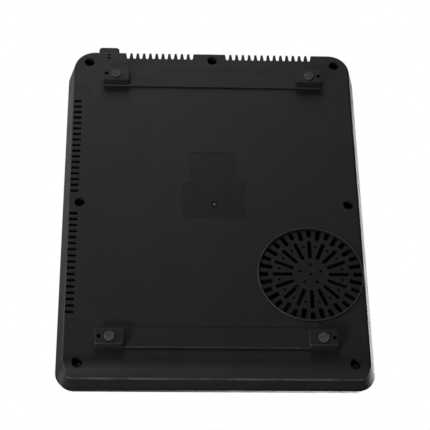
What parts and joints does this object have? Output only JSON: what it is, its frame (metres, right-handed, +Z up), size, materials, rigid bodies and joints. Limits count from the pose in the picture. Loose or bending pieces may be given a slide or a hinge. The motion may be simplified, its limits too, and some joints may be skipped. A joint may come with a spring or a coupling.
{
  "type": "hot plate burner",
  "caption": "Slim portable single-zone hot plate with black glass top, tilted key panel, vented underside with fan grille, rubber-padded feet and rear cord inlet.",
  "frame": {"origin": "centre of the bounding box's footprint, on the table plane that the four foot pads rest on", "axes": "+Z up through the glass, -Y towards the control panel and user, +Y towards the rear wall with the cord inlet"},
  "size_m": [0.2824, 0.3592, 0.057],
  "materials": {
    "casing": "fine-grained matt black moulding",
    "housing": "satin black moulding",
    "foot_rubber": "dull grey-black rubber",
    "bushing_rubber": "soft black rubber",
    "black_glass": "polished opaque black glass-ceramic",
    "silicone": "grey silicone",
    "overlay_film": "gloss black film",
    "tinted_window": "smoked clear window",
    "key_plastic": "satin silver-grey",
    "switch_plunger": "plain",
    "switch_body": "plain",
    "screw_steel": "zinc-plated steel",
    "circuit_board": "green solder resist",
    "display_body": "black with red digits",
    "lamp_epoxy": "tinted epoxy",
    "component_black": "moulded epoxy",
    "former_plastic": "heat-resistant plastic",
    "copper_litz": "enamelled copper wire",
    "mica": "pressed mica",
    "ferrite": "sintered ferrite",
    "wire_sleeve": "woven glass sleeve",
    "aluminium": "extruded",
    "capacitor_yellow": "plain",
    "capacitor_blue": "plain",
    "capacitor_sleeve": "plain",
    "transformer_core": "taped core",
    "fuse_glass": "clear glass with metal caps",
    "terminal_brass": "plain",
    "ribbon_grey": "flat cable",
    "fan_plastic": "black moulding",
    "bearing_bronze": "sintered bronze"
  },
  "bodies": {
    "casing": {"base_strips": "casing", "bottom_shell": "casing", "bridge_rectifier": "component_black", "buzzer": "component_black", "choke_coil": "copper_litz", "coil_former": "former_plastic", "coil_leads": "wire_sleeve", "coil_screws": "screw_steel", "coil_terminals": "terminal_brass", "control_board": "circuit_board", "control_board_screws": "screw_steel", "control_ribbon": "ribbon_grey", "cord_bushing": "bushing_rubber", "cord_collar": "casing", "display_module": "display_body", "display_window": "tinted_window", "fan_bearing": "bearing_bronze", "fan_frame": "fan_plastic", "fan_screws": "screw_steel", "fan_stator": "copper_litz", "ferrite_bars": "ferrite", "foot_blocks": "casing", "foot_pads": "foot_rubber", "fuse": "fuse_glass", "glass_plate": "black_glass", "glass_seal": "silicone", "glass_sensor": "component_black", "heat_sink": "aluminium", "housing_screws": "screw_steel", "indicator_lamps": "lamp_epoxy", "induction_coil": "copper_litz", "mains_capacitor": "capacitor_yellow", "mica_sheet": "mica", "panel_overlay": "overlay_film", "power_board": "circuit_board", "power_board_screws": "screw_steel", "power_transistor": "component_black", "resonant_capacitor": "capacitor_blue", "sensor_holder": "silicone", "smoothing_capacitor": "capacitor_yellow", "supply_capacitor": "capacitor_sleeve", "supply_transformer": "transformer_core", "tact_switches": "switch_body", "top_housing": "housing"},
    "fan_wheel": {"fan_rotor": "fan_plastic", "fan_shaft": "screw_steel"},
    "mode_button": {"mode_key": "key_plastic", "mode_plunger": "switch_plunger"},
    "timer_button": {"timer_key": "key_plastic", "timer_plunger": "switch_plunger"},
    "lock_button": {"lock_key": "key_plastic", "lock_plunger": "switch_plunger"},
    "minus_button": {"minus_key": "key_plastic", "minus_plunger": "switch_plunger"},
    "plus_button": {"plus_key": "key_plastic", "plus_plunger": "switch_plunger"},
    "power_button": {"power_key": "key_plastic", "power_plunger": "switch_plunger"}
  },
  "joints": [
    {"name": "fan_spin", "type": "hinge", "parent": "casing", "child": "fan_wheel", "pos_m": [-0.0859, -0.0761, 0.024], "axis": [0, 0, 1], "continuous": true},
    {"name": "mode_press", "type": "slide", "parent": "casing", "child": "mode_button", "axis": [0, 0.1219, -0.9925], "range_m": [0, 0.0008], "stiffness_N_per_m": 800, "springref_m": -0.0005},
    {"name": "timer_press", "type": "slide", "parent": "casing", "child": "timer_button", "axis": [0, 0.1219, -0.9925], "range_m": [0, 0.0008], "stiffness_N_per_m": 800, "springref_m": -0.0005},
    {"name": "lock_press", "type": "slide", "parent": "casing", "child": "lock_button", "axis": [0, 0.1219, -0.9925], "range_m": [0, 0.0008], "stiffness_N_per_m": 800, "springref_m": -0.0005},
    {"name": "minus_press", "type": "slide", "parent": "casing", "child": "minus_button", "axis": [0, 0.1219, -0.9925], "range_m": [0, 0.0008], "stiffness_N_per_m": 800, "springref_m": -0.0005},
    {"name": "plus_press", "type": "slide", "parent": "casing", "child": "plus_button", "axis": [0, 0.1219, -0.9925], "range_m": [0, 0.0008], "stiffness_N_per_m": 800, "springref_m": -0.0005},
    {"name": "power_press", "type": "slide", "parent": "casing", "child": "power_button", "axis": [0, 0.1219, -0.9925], "range_m": [0, 0.0008], "stiffness_N_per_m": 800, "springref_m": -0.0005}
  ]
}
